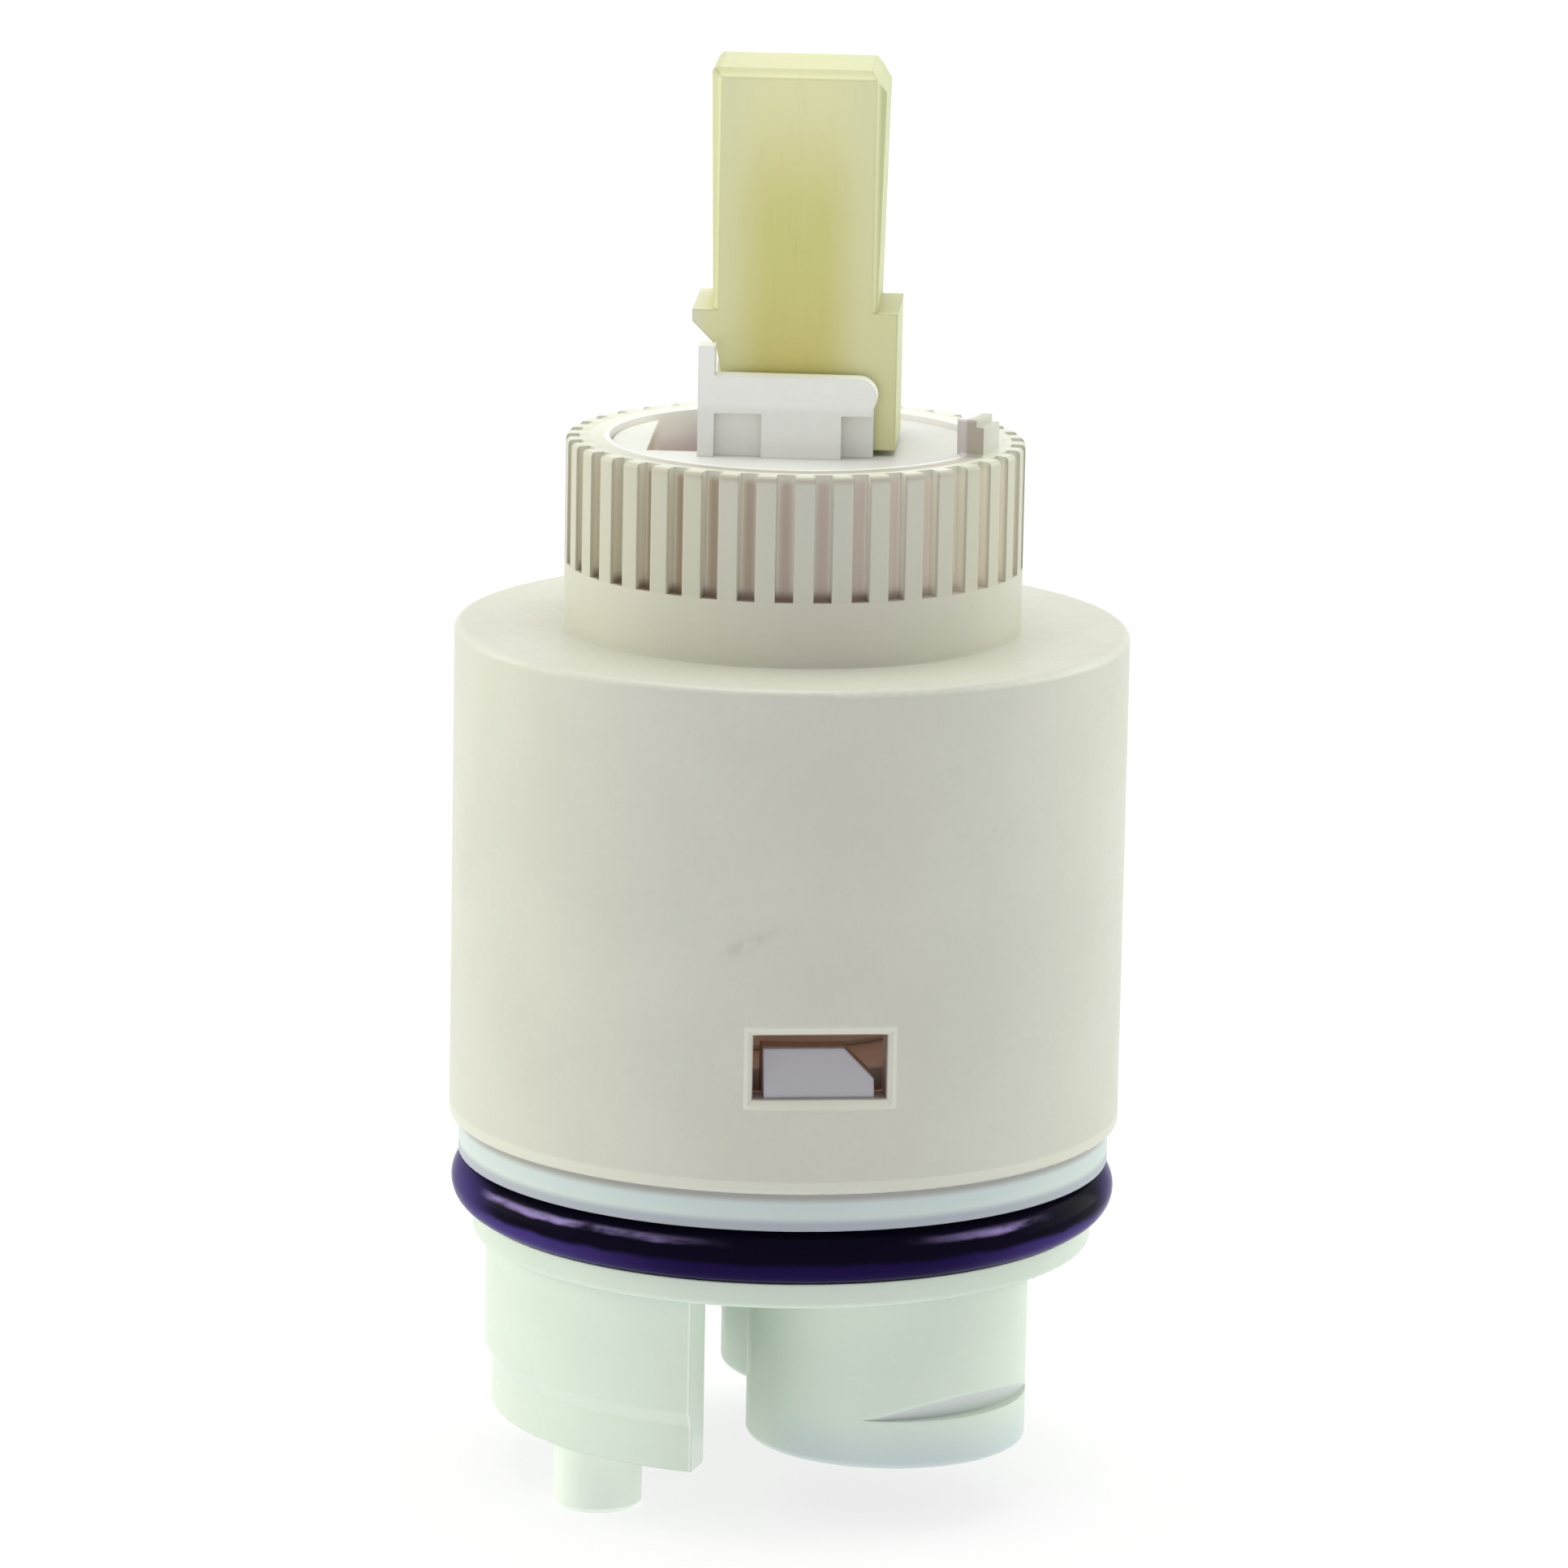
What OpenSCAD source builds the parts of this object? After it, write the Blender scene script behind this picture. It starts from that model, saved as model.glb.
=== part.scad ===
// Mixer tap cartridge with ceramic discs, single-lever type with raised feet
// Z is the turning axis, and the locating pegs end at Z = 0.
// The two inlet tubes are on the +X side and the outlet is on the -X side.
// The lever is drawn upright, which is its closed position.

/* [Housing] */
// Outside diameter of the barrel
barrel_d = 35; // [33:0.5:40]
// Height of the barrel, from its lower edge to the shoulder
barrel_h = 26; // [24:0.5:32]
// Wall of the barrel
barrel_wall = 2; // [1.6:0.1:2.4]
// Thickness of the shoulder above the cavity
shoulder_t = 2.5; // [2:0.1:3.2]
// Rounding of the shoulder's outer edge
shoulder_round = 0.4; // [0.2:0.1:1.2]
// Outside diameter of the splined collar
collar_d = 23.7; // [22.5:0.1:26]
// Height of the collar above the shoulder
collar_h = 9.8; // [9:0.1:13]
// Bore of the collar
collar_bore = 19.2; // [18.4:0.1:20]
// Number of grooves around the collar
spline_count = 38; // [24:1:44]
// Width of one groove
spline_w = 0.92; // [0.5:0.02:1]
// Depth of one groove
spline_depth = 0.7; // [0.4:0.05:1]
// Length of the grooves, measured down from the rim
spline_h = 6.45; // [4:0.05:8]
// Turn of the first groove from the +X direction
spline_turn = -3.6; // [-4.5:0.1:4.5]
// Rounding of the rim's edges
rim_round = 0.25; // [0.1:0.05:0.5]
// Width of a latch window
window_w = 6.8; // [5:0.1:8]
// Height of a latch window
window_h = 3.3; // [2.6:0.1:4]
// Lower edge of a latch window, above the barrel's lower edge
window_rise = 4.9; // [4.2:0.1:7]
// Bevel around a latch window
window_bevel = 0.3; // [0.1:0.05:0.5]
// Height of the index lug above the rim
lug_h = 1.9; // [0.8:0.05:3]
// Width of the index lug
lug_w = 2.3; // [1.5:0.1:6]
// Turn of the index lug from the +X direction
lug_turn = -28; // [-40:1:40]
// How far the index lug reaches in from the bore
lug_reach = 0.2; // [0.1:0.05:1]

/* [Base] */
// Diameter of the lower land, under the base ring
land_d = 32.4; // [31.4:0.1:33]
// How far the upper land stays inside the barrel's face
upper_land_step = 0.5; // [0.3:0.05:1]
// Height of the feet, from their lower faces to the lower land
foot_h = 9.2; // [7:0.1:14]
// Height of the lower land
lower_land_h = 1.3; // [1:0.1:3]
// Height of the upper land
upper_land_h = 2; // [1:0.1:3]
// Thickness of the base above the upper land
deck_h = 1.5; // [1:0.1:2.5]
// Wall of the skirt inside the barrel
skirt_t = 0.9; // [0.7:0.1:1.2]
// Outside diameter of an inlet tube
tube_d = 14.5; // [12.6:0.1:15]
// Distance of the inlet tubes from the axis, along X
tube_x = 4.9; // [4.5:0.1:5.2]
// Distance of the inlet tubes from the axis, along Y
tube_y = 6.8; // [6.6:0.1:7.2]
// Bore of an inlet tube
inlet_bore = 8; // [6:0.1:8.6]
// Outside radius of the wall foot
wall_r = 15.5; // [15:0.1:15.7]
// Thickness of the wall foot
wall_t = 2.4; // [1.8:0.1:3]
// Half of the angle that the wall foot covers
wall_half_angle = 67; // [50:1:70]
// Height of the stepped-in lower part of the wall foot
wall_step_h = 2.4; // [1:0.1:5]
// Depth of that step
wall_step = 0.4; // [0.2:0.1:1]
// Height of the slope from the wall foot's upper part to its lower part
wall_slope_h = 0.8; // [0.4:0.1:2]
// Lower edge of the scoops in the tubes, above the seats of the inlet seals
scoop_rise = 0.4; // [0.3:0.1:2]
// Height of the scoops in the tubes
scoop_h = 1.3; // [0.5:0.1:3]
// Depth of the scoops in the tubes
scoop_depth = 0.6; // [0.3:0.05:1]
// Distance of the scoops' own axes from the tubes' axes
scoop_shift = 1.9; // [1.5:0.1:3]
// Diameter of a locating peg
peg_d = 4.6; // [3:0.1:5]
// Length of a locating peg below the feet
peg_l = 3.5; // [2:0.1:6]
// Distance of the pegs from the axis
peg_orbit = 12.5; // [12:0.1:13]
// Angle of the pegs from the -X direction
peg_angle = 36; // [25:1:50]
// Width of the web that carries a peg
peg_web_w = 3; // [2.4:0.1:3.6]
// Step from the inner side of a peg to its web
peg_web_step = 0.7; // [0.6:0.05:0.9]
// Diameter of the outlet in the base
outlet_d = 8; // [5:0.1:8.6]
// Distance of the outlet from the axis
outlet_x = 7.2; // [6.6:0.1:7.6]

/* [Seals] */
// Section of the base ring
base_ring_t = 2.9; // [2:0.1:3]
// How far the base ring stands out from the lower land
base_ring_proud = 1.15; // [0.5:0.05:1.25]
// Section of the neck ring
neck_ring_t = 1.8; // [1.4:0.1:2.2]
// Wall of a port seal, and of an inlet seal
seal_wall = 1.3; // [1:0.1:1.5]
// Step from a bore out to the seal around it
seal_step = 0.5; // [0.4:0.05:0.6]
// Depth of the seats of the port seals in the deck
port_seat_h = 1.6; // [1.2:0.1:2.5]
// How far the port seals stand above the deck
port_seal_proud = 0.4; // [0.2:0.1:0.8]
// Depth of the seats of the inlet seals in the tubes
inlet_seat_h = 2.2; // [1.5:0.1:3]
// How far the inlet seals stand out below the tubes
inlet_seal_proud = 0.3; // [0.1:0.1:0.8]

/* [Discs] */
// Thickness of each ceramic disc
disc_t = 4; // [3:0.1:5]
// Diameter of the fixed disc
fixed_disc_d = 27.2; // [26:0.1:28]
// Diameter of the moving disc and of its carrier
moving_disc_d = 22.4; // [21:0.1:23]
// Diameter of the mixing opening in the moving disc
mix_d = 12.4; // [10:0.1:13]
// Offset of the mixing opening towards the outlet
mix_offset = 1.2; // [0.6:0.1:1.6]
// Thickness of the carrier plate
carrier_t = 3; // [2.6:0.1:3.6]
// Depth of the mixing recess, and of the seal groove, in the carrier
recess_h = 1.2; // [1:0.1:1.6]
// Wall of the seal between the carrier and the moving disc
carrier_seal_wall = 1; // [0.8:0.05:1]
// Bevel of the edges of the discs and the carrier
disc_bevel = 0.3; // [0.1:0.05:0.5]
// Width of the guide block on the carrier
block_w = 11; // [9:0.1:12]
// Length of the guide block on the carrier
block_l = 13; // [10:0.1:14]

/* [Rotor] */
// Thickness of the glide ring
glide_t = 0.6; // [0.4:0.1:1]
// Diameter of the rotor's flange
flange_d = 29.2; // [28:0.1:29.6]
// Thickness of the rotor's flange
flange_t = 3.4; // [2.8:0.1:4]
// Depth of the rotor's floor below the rim
floor_drop = 0.25; // [0.2:0.05:0.8]
// Thickness of a cheek
cheek_t = 1.3; // [0.9:0.1:1.8]
// Shift of a cheek towards the round end of its crosspiece
cheek_shift = 0.2; // [-0.4:0.05:0.4]
// Length of the crosspiece on a cheek
cross_l = 8.3; // [7:0.1:9]
// Height of the crosspiece
cross_h = 1.95; // [1.2:0.05:3]
// Lower edge of the crosspiece above the floor
cross_rise = 2.25; // [1.5:0.05:4]
// Width of the pillar under the crosspiece
pillar_w = 4.1; // [3:0.1:5]
// Shift of the pillar from the middle of the crosspiece
pillar_shift = 0.3; // [-0.5:0.05:0.5]
// Depth of the recessed panel beside the pillar
panel_recess = 0.45; // [0.2:0.05:0.7]
// Depth of the hollow on the pillar's other side
hollow_recess = 0.85; // [0.4:0.05:0.9]
// Width of the post at the end of the crosspiece
post_w = 0.85; // [0.7:0.05:1.6]
// Height of the post above the floor
post_h = 5.7; // [5:0.05:8]
// Half of the turning range from hot to cold
turn_half = 45; // [30:1:50]
// How far the rotor is drawn turned from its middle position
rest_turn = -9; // [-30:1:30]

/* [Lever] */
// Tilt of the lever from closed to fully open
open_tilt = 24; // [15:0.5:25]
// Height of the pivot above the shoulder
pivot_rise = 2.1; // [1.8:0.1:2.4]
// Diameter of the pivot pin
pin_d = 3; // [2.4:0.1:3.4]
// Thickness of the lever, across its faces
lever_t = 7; // [5.5:0.1:7.5]
// Width of the lever's body
body_w = 10.5; // [10:0.1:11]
// Height of the lever's body, from its heel to its shoulders
body_h = 7.05; // [5.5:0.05:8]
// Width of the stem at its lower end
stem_low_w = 8.4; // [7.6:0.1:8.8]
// Width of the stem at its upper end
stem_top_w = 8.9; // [7.6:0.1:9.6]
// Height of the stem above the shoulders
stem_h = 12.4; // [8:0.1:20]
// Bevel of the stem's upper edges at the front and the back
stem_bevel = 0.45; // [0.2:0.05:0.8]
// Bevel of the stem's upright edges
stem_edge = 0.5; // [0.3:0.05:0.8]
// Bevel of the stem's upper left corner
stem_corner = 0.2; // [0.1:0.05:0.6]
// Width of the sloped corner at the stem's upper right end
stem_slope_w = 0.75; // [0.5:0.05:1.2]
// Height of that sloped corner
stem_slope_h = 1.1; // [0.5:0.05:2]
// Height of the nub at the outer end of the left shoulder
nub_h = 0.6; // [0.4:0.05:1.5]
// Thickness of the blade that runs down through the rotor
blade_t = 4.2; // [3.6:0.1:4.6]
// Width of the blade
blade_w = 6.8; // [6:0.1:7.2]
// Diameter of the ball that moves the carrier
ball_d = 4.3; // [3.6:0.1:4.4]
// Diameter of the neck above the ball
neck_d = 2.6; // [2:0.1:2.8]

/* [Clearances] */
// Running gap around turning pieces
run_gap = 0.08; // [0.04:0.01:0.12]
// Gap between flat faces that slide
slide_gap = 0.1; // [0.05:0.01:0.2]
// Gap around pieces that are set into seats
seat_gap = 0.1; // [0.05:0.01:0.2]
// Free gap around pieces that swing or move past each other
free_gap = 0.3; // [0.2:0.05:0.5]
// Gap around the ball in its socket
ball_gap = 0.15; // [0.1:0.01:0.2]
// Film of grease between the two ceramic discs
lap_gap = 0.02; // [0.01:0.01:0.05]

/* [Hidden] */
$fn = 96;
// Overlap of a cut past the face that it opens
cut = 1;
// Overlap of two shapes that are joined in one piece
weld = 0.2;
// Reach of a cutting shape that goes past the whole cartridge
beyond = 3 * barrel_d;

// Radii
barrel_r = barrel_d / 2;
cavity_r = barrel_r - barrel_wall;
collar_r = collar_d / 2;
bore_r = collar_bore / 2;
land_r = land_d / 2;
upper_land_r = barrel_r - upper_land_step;
skirt_r = cavity_r - seat_gap;
skirt_in_r = skirt_r - skirt_t;
tube_r = tube_d / 2;
scoop_r = tube_r + scoop_shift - scoop_depth;
fixed_r = fixed_disc_d / 2;
moving_r = moving_disc_d / 2;
hub_r = bore_r - run_gap;
flange_r = flange_d / 2;

// Levels from the pegs upwards
foot_z = peg_l;
land_z = foot_z + foot_h;
ring_groove_z = land_z + lower_land_h;
ring_groove_h = base_ring_t + seat_gap;
upper_land_z = ring_groove_z + ring_groove_h;
barrel_z = upper_land_z + upper_land_h;
deck_z = barrel_z + deck_h;
fixed_z = deck_z + port_seal_proud;
moving_z = fixed_z + disc_t + lap_gap;
carrier_z = moving_z + disc_t;
carrier_top_z = carrier_z + carrier_t;
shoulder_z = barrel_z + barrel_h;
ceiling_z = shoulder_z - shoulder_t;
rim_z = shoulder_z + collar_h;
window_z = barrel_z + window_rise;

// Levels of the rotor and the lever
flange_top_z = ceiling_z - glide_t - slide_gap;
flange_low_z = flange_top_z - flange_t;
rail_z = carrier_top_z + slide_gap;
block_top_z = flange_low_z - free_gap;
floor_z = rim_z - floor_drop;
pivot_z = shoulder_z + pivot_rise;
heel_z = floor_z + free_gap;
body_top_z = heel_z + body_h;
stem_top_z = body_top_z + stem_h;

// The lever's arm, and the way that its ball moves the carrier
ball_r = ball_d / 2;
ball_depth = 1.6;
ball_z = block_top_z - ball_depth;
arm = pivot_z - ball_z;
travel = arm * sin(open_tilt);
carrier_x = -travel / 2;

// Base ring and its groove
base_ring_mid_r = land_r + base_ring_proud - base_ring_t / 2;
ring_groove_r = base_ring_mid_r - base_ring_t / 2 - seat_gap / 2;

// Neck ring and its groove above the pivot pin
neck_groove_h = neck_ring_t + seat_gap;
neck_groove_rise = 1.2;
neck_groove_z = pivot_z + pin_d / 2 + neck_groove_rise;

// Latch tabs of the base, set back from the barrel's face
tab_side_gap = 0.6;
tab_w = window_w - 2 * tab_side_gap;
tab_share = 0.73;
tab_h = tab_share * window_h;
tab_top_z = window_z + tab_h;
tab_set_back = 0.8;
tab_r = barrel_r - tab_set_back;
tab_corner = 1.5;
skirt_h = window_rise + tab_h;
slot_w = 0.8;

// Radius of the seat of a seal around a bore
function seat_r(bore) = bore / 2 + seal_step + seal_wall + seat_gap;

// Keys that stop the discs from turning; the fixed disc's keys lie between the ports
key_w = 3;
key_h = 1.2;
key_drop = 2.5;
fixed_key_angles = [-115, 0, 115];

// Carrier seal, outside the mixing recess
carrier_seal_land = 0.5;
carrier_groove_r = mix_d / 2 + carrier_seal_land;

// Stop rib of the housing, and the recess in the rotor's flange that runs past it
rib_w = 3;
rib_reach = 1.8;
recess_r = flange_r - rib_reach;
rib_r = recess_r + free_gap;
stop_spare = 1;
recess_half_angle = turn_half + asin(rib_w / 2 / rib_r) + stop_spare;

// Cheeks of the rotor, and the blade's slot
cheek_gap = 0.25;
cheek_y = lever_t / 2 + cheek_gap;
blade_half = blade_w / 2;
slot_half = blade_half + free_gap;
slot_t = blade_t + 2 * slide_gap;
mouth_t = lever_t + 2 * slide_gap;
mouth_h = 2.2;
pin_r = pin_d / 2;
pin_set_back = 0.9;
pin_l = 2 * (hub_r - pin_set_back);

// Underside of the tilted lever's body, at a place x along the lever
function sole_z(x) = pivot_z + (heel_z - pivot_z - x * sin(open_tilt)) / cos(open_tilt);
// Place along the lever where its level heel begins
heel_x = (heel_z - pivot_z) * (1 - cos(open_tilt)) / sin(open_tilt);
// Sides of the slot that the swinging blade needs, at a height h above the pivot
function slot_left(h) = -(slot_half + h * sin(open_tilt)) / cos(open_tilt);
function slot_right(h) = (slot_half - h * sin(open_tilt)) / cos(open_tilt);

// Shapes that repeat

// Moves a shape to a height
module at_z(z) {
    translate([0, 0, z]) children();
}

// Flat ring or tube, standing on Z = 0
module ring(outer, inner, h) {
    difference() {
        cylinder(r = outer, h = h);
        at_z(-cut) cylinder(r = inner, h = h + 2 * cut);
    }
}

// Cutter that rounds the upper outer edge of a round piece
module upper_edge(r, z, round) {
    at_z(z) rotate_extrude() translate([r - round, -round]) difference() {
        square(2 * round);
        circle(round);
    }
}

// Cutter that rounds the lower outer edge of a round piece
module lower_edge(r, z, round) {
    at_z(z) mirror([0, 0, 1]) upper_edge(r, 0, round);
}

// Wedge about the X axis that opens to both sides by half_angle, below 80 degrees
module wedge(half_angle, z, h) {
    side = beyond * tan(half_angle);
    at_z(z) linear_extrude(h) polygon([[0, 0], [beyond, -side], [beyond, side]]);
}

// Curved slot along an orbit, with bulging ends at the reach from its middle, in the direction at angle
module arc_slot(orbit, width, angle, reach, h) {
    intersection() {
        ring(orbit + width / 2, orbit - width / 2, h);
        rotate([0, 0, angle]) translate([orbit, 0, -cut]) cylinder(r = reach, h = h + 2 * cut);
    }
}

// Round plate with bevelled edges
module bevelled_disc(r, h, bevel) {
    rotate_extrude() polygon([[0, 0], [r - bevel, 0], [r, bevel], [r, h - bevel], [r - bevel, h], [0, h]]);
}

// Rectangle with round corners, centred on the origin
module round_rectangle(length, width, corner) {
    square([length - 2 * corner, width], center = true);
    square([length, width - 2 * corner], center = true);
    for (x = [-1, 1], y = [-1, 1])
        translate([x * (length / 2 - corner), y * (width / 2 - corner)]) circle(corner);
}

// Outline in X and Z, made into a plate of thickness t about the XZ plane
module upright_plate(t) {
    translate([0, t / 2, 0]) rotate([90, 0, 0]) linear_extrude(t) children();
}

// Rubber ring of square section with a rounded upper bead
module seal(inner, wall, h) {
    rotate_extrude() {
        translate([inner, 0]) square([wall, h - wall / 2]);
        translate([inner + wall / 2, h - wall / 2]) circle(wall / 2);
    }
}

// The turning group, drawn at its rest position
module turned() {
    rotate([0, 0, rest_turn]) children();
}

// Housing

module window_cut() {
    flare_y = sqrt(pow(barrel_r, 2) - pow(window_w / 2, 2)) - window_bevel;
    outer_y = barrel_r + cut;
    inner_y = cavity_r - cut;
    flare = outer_y - flare_y;
    half_w = window_w / 2;
    intersection() {
        linear_extrude(beyond) polygon([[-half_w, -inner_y], [-half_w, -flare_y],
            [-half_w - flare, -outer_y], [half_w + flare, -outer_y], [half_w, -flare_y], [half_w, -inner_y]]);
        rotate([90, 0, 90]) translate([0, 0, -barrel_r]) linear_extrude(barrel_d)
            polygon([[-inner_y, window_z], [-flare_y, window_z], [-outer_y, window_z - flare],
                [-outer_y, window_z + window_h + flare], [-flare_y, window_z + window_h],
                [-inner_y, window_z + window_h]]);
    }
}

module index_lug() {
    head_low_z = floor_z + free_gap;
    head_reach = 0.8;
    back_reach = 1.2;
    back_share = 0.8;
    intersection() {
        union() {
            at_z(head_low_z) ring(bore_r + head_reach, bore_r - lug_reach, rim_z + lug_h - head_low_z);
            at_z(rim_z - weld) ring(bore_r + back_reach, bore_r, weld + back_share * lug_h);
        }
        rotate([0, 0, lug_turn]) translate([0, -lug_w / 2, rim_z - cut]) cube([beyond, lug_w, beyond]);
    }
}

module stop_rib() {
    rib_low_z = flange_low_z + free_gap;
    intersection() {
        at_z(rib_low_z) ring(cavity_r + weld, rib_r, ceiling_z + weld - rib_low_z);
        translate([-beyond, -rib_w / 2, 0]) cube([beyond, rib_w, beyond]);
    }
}

module housing() {
    color([0.87, 0.85, 0.76]) {
        difference() {
            union() {
                at_z(barrel_z) cylinder(r = barrel_r, h = barrel_h);
                at_z(ceiling_z) cylinder(r = collar_r, h = rim_z - ceiling_z);
            }
            at_z(barrel_z - cut) cylinder(r = cavity_r, h = ceiling_z - barrel_z + cut);
            at_z(ceiling_z - cut) cylinder(r = bore_r, h = rim_z - ceiling_z + 2 * cut);
            for (i = [0 : spline_count - 1])
                rotate([0, 0, spline_turn + 360 * i / spline_count])
                    translate([collar_r - spline_depth, -spline_w / 2, rim_z - spline_h])
                        cube([spline_depth + cut, spline_w, spline_h + cut]);
            for (side = [0, 180])
                rotate([0, 0, side]) window_cut();
            upper_edge(barrel_r, shoulder_z, shoulder_round);
            lower_edge(barrel_r, barrel_z, rim_round);
            upper_edge(collar_r, rim_z, rim_round);
        }
        index_lug();
        stop_rib();
    }
}

// Base and seals

module at_inlet(side) {
    translate([tube_x, side * tube_y, 0]) children();
}

module at_outlet() {
    translate([-outlet_x, 0, 0]) children();
}

module inlet_tube() {
    tip_round = 0.4;
    difference() {
        at_z(foot_z) cylinder(r = tube_r, h = foot_h + weld);
        lower_edge(tube_r, foot_z, tip_round);
    }
}

// Cutter for the scoop in the outer face of an inlet tube: a level ledge under a sloped face
module scoop_cut(side) {
    reach = 3 * scoop_depth;
    at_inlet(side) rotate([0, 0, side * atan2(tube_y, tube_x)])
        translate([-scoop_shift, 0, foot_z + inlet_seat_h + scoop_rise]) intersection() {
            rotate_extrude() polygon([[scoop_r, 0], [scoop_r + reach, 0], [scoop_r + reach, 3 * scoop_h]]);
            translate([0, -beyond, -cut]) cube([beyond, 2 * beyond, beyond]);
        }
}

module wall_foot() {
    intersection() {
        difference() {
            at_z(foot_z) ring(wall_r, wall_r - wall_t, foot_h + weld);
            at_z(foot_z) rotate_extrude() polygon([[wall_r - wall_step, -cut], [wall_r + cut, -cut],
                [wall_r + cut, wall_step_h + wall_slope_h], [wall_r, wall_step_h + wall_slope_h],
                [wall_r - wall_step, wall_step_h]]);
        }
        rotate([0, 0, 180]) wedge(wall_half_angle, 0, beyond);
    }
}

module locating_peg(side) {
    tip = 0.3;
    root = 0.15;
    peg_r = peg_d / 2;
    rotate([0, 0, 180 + side * peg_angle]) {
        translate([peg_orbit, 0, 0]) rotate_extrude() polygon([[0, 0], [peg_r - tip, 0], [peg_r, tip],
            [peg_r, peg_l - root], [peg_r + root, peg_l], [0, peg_l]]);
        // Web that carries the peg, between the wall foot and the land
        web_in = peg_orbit - peg_r + peg_web_step;
        web_out = wall_r - 3 / 4 * wall_t;
        translate([web_in, -peg_web_w / 2, peg_l - weld])
            cube([web_out - web_in, peg_web_w, foot_h + 2 * weld]);
    }
}

module latch_tab() {
    lip = 0.7;
    intersection() {
        upright_plate(beyond) polygon([[-tab_w / 2, window_z], [tab_w / 2, window_z],
            [tab_w / 2, tab_top_z - tab_corner], [tab_w / 2 - tab_corner, tab_top_z],
            [-tab_w / 2, tab_top_z]]);
        translate([-tab_w, 0, 0]) rotate([90, 0, 90]) linear_extrude(2 * tab_w)
            polygon([[-tab_r, window_z], [-skirt_r + skirt_t / 2, window_z],
                [-skirt_r + skirt_t / 2, tab_top_z], [-tab_r + lip, tab_top_z]]);
    }
}

// Through bore with a seat for a port seal at the deck
module deck_port(bore, from_z) {
    at_z(from_z - cut) cylinder(d = bore, h = deck_z - from_z + 2 * cut);
    at_z(deck_z - port_seat_h) cylinder(r = seat_r(bore), h = port_seat_h + cut);
}

module base() {
    key_reach = skirt_in_r + weld - fixed_r + key_h - seat_gap;
    color([0.93, 0.95, 0.93]) {
        difference() {
            union() {
                at_z(land_z) cylinder(r = land_r, h = upper_land_z - land_z);
                at_z(upper_land_z - weld) cylinder(r = upper_land_r, h = weld + upper_land_h);
                at_z(barrel_z - weld) cylinder(r = skirt_r, h = weld + skirt_h);
                for (side = [-1, 1]) {
                    at_inlet(side) inlet_tube();
                    locating_peg(side);
                }
                wall_foot();
            }
            at_z(ring_groove_z) ring(beyond, ring_groove_r, ring_groove_h);
            at_z(deck_z) cylinder(r = skirt_in_r, h = beyond);
            lower_edge(land_r, land_z, rim_round);
            for (side = [-1, 1]) at_inlet(side) {
                deck_port(inlet_bore, foot_z);
                at_z(foot_z - cut) cylinder(r = seat_r(inlet_bore), h = inlet_seat_h + cut);
            }
            at_outlet() deck_port(outlet_d, land_z);
            for (side = [-1, 1]) scoop_cut(side);
            // Slots that let the latch tabs spring
            for (side = [0, 180], end = [-1, 1])
                rotate([0, 0, side]) translate([end * (tab_w + slot_w) / 2, -skirt_r, window_z])
                    translate([-slot_w / 2, -cut, 0]) cube([slot_w, 2 * cut + skirt_t, beyond]);
            // Corner of the skirt behind the cut corner of a latch tab
            for (side = [0, 180])
                rotate([0, 0, side]) translate([tab_w / 2, -skirt_r, tab_top_z])
                    upright_plate(2 * (cut + skirt_t)) polygon([[0, -tab_corner], [slot_w / 2, -tab_corner],
                        [slot_w / 2, cut], [-tab_corner - cut, cut]]);
        }
        for (side = [0, 180])
            rotate([0, 0, side]) latch_tab();
        // Keys for the fixed disc
        for (angle = fixed_key_angles)
            rotate([0, 0, angle]) translate([skirt_in_r + weld - key_reach, -key_w / 2, deck_z - weld])
                cube([key_reach, key_w, weld + port_seal_proud + key_drop]);
    }
}

module base_o_ring() {
    color([0.09, 0.06, 0.15])
        at_z(ring_groove_z + ring_groove_h / 2) rotate_extrude()
            translate([base_ring_mid_r, 0]) circle(d = base_ring_t);
}

module port_seal(bore) {
    at_z(deck_z - port_seat_h) seal(bore / 2 + seal_step, seal_wall, port_seat_h + port_seal_proud);
}

module inlet_seal() {
    at_z(foot_z + inlet_seat_h) mirror([0, 0, 1])
        seal(inlet_bore / 2 + seal_step, seal_wall, inlet_seat_h + inlet_seal_proud);
}

module hot_port_seal() {
    color([0.12, 0.12, 0.13]) at_inlet(-1) port_seal(inlet_bore);
}

module cold_port_seal() {
    color([0.12, 0.12, 0.13]) at_inlet(1) port_seal(inlet_bore);
}

module outlet_port_seal() {
    color([0.12, 0.12, 0.13]) at_outlet() port_seal(outlet_d);
}

module hot_inlet_seal() {
    color([0.12, 0.12, 0.13]) at_inlet(-1) inlet_seal();
}

module cold_inlet_seal() {
    color([0.12, 0.12, 0.13]) at_inlet(1) inlet_seal();
}

// Discs and carrier

module fixed_disc() {
    inlet_orbit = norm([tube_x, tube_y]);
    inlet_angle = atan2(tube_y, tube_x);
    inlet_slot_w = 3;
    inlet_slot_in = 0.4;
    outlet_slot_w = 5;
    slot_margin = 0.5;
    through = disc_t + 2 * cut;
    color([0.94, 0.93, 0.90]) at_z(fixed_z) difference() {
        bevelled_disc(fixed_r, disc_t, disc_bevel);
        for (side = [-1, 1])
            at_z(-cut) arc_slot(inlet_orbit - inlet_slot_in, inlet_slot_w, side * inlet_angle,
                inlet_bore / 2 - slot_margin, through);
        at_z(-cut) arc_slot(outlet_x, outlet_slot_w, 180, outlet_d / 2 - slot_margin, through);
        for (angle = fixed_key_angles)
            rotate([0, 0, angle]) translate([fixed_r - key_h, -key_w / 2 - seat_gap, -cut])
                cube([beyond, key_w + 2 * seat_gap, through]);
    }
}

module at_carrier() {
    turned() translate([carrier_x, 0, 0]) children();
}

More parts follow.
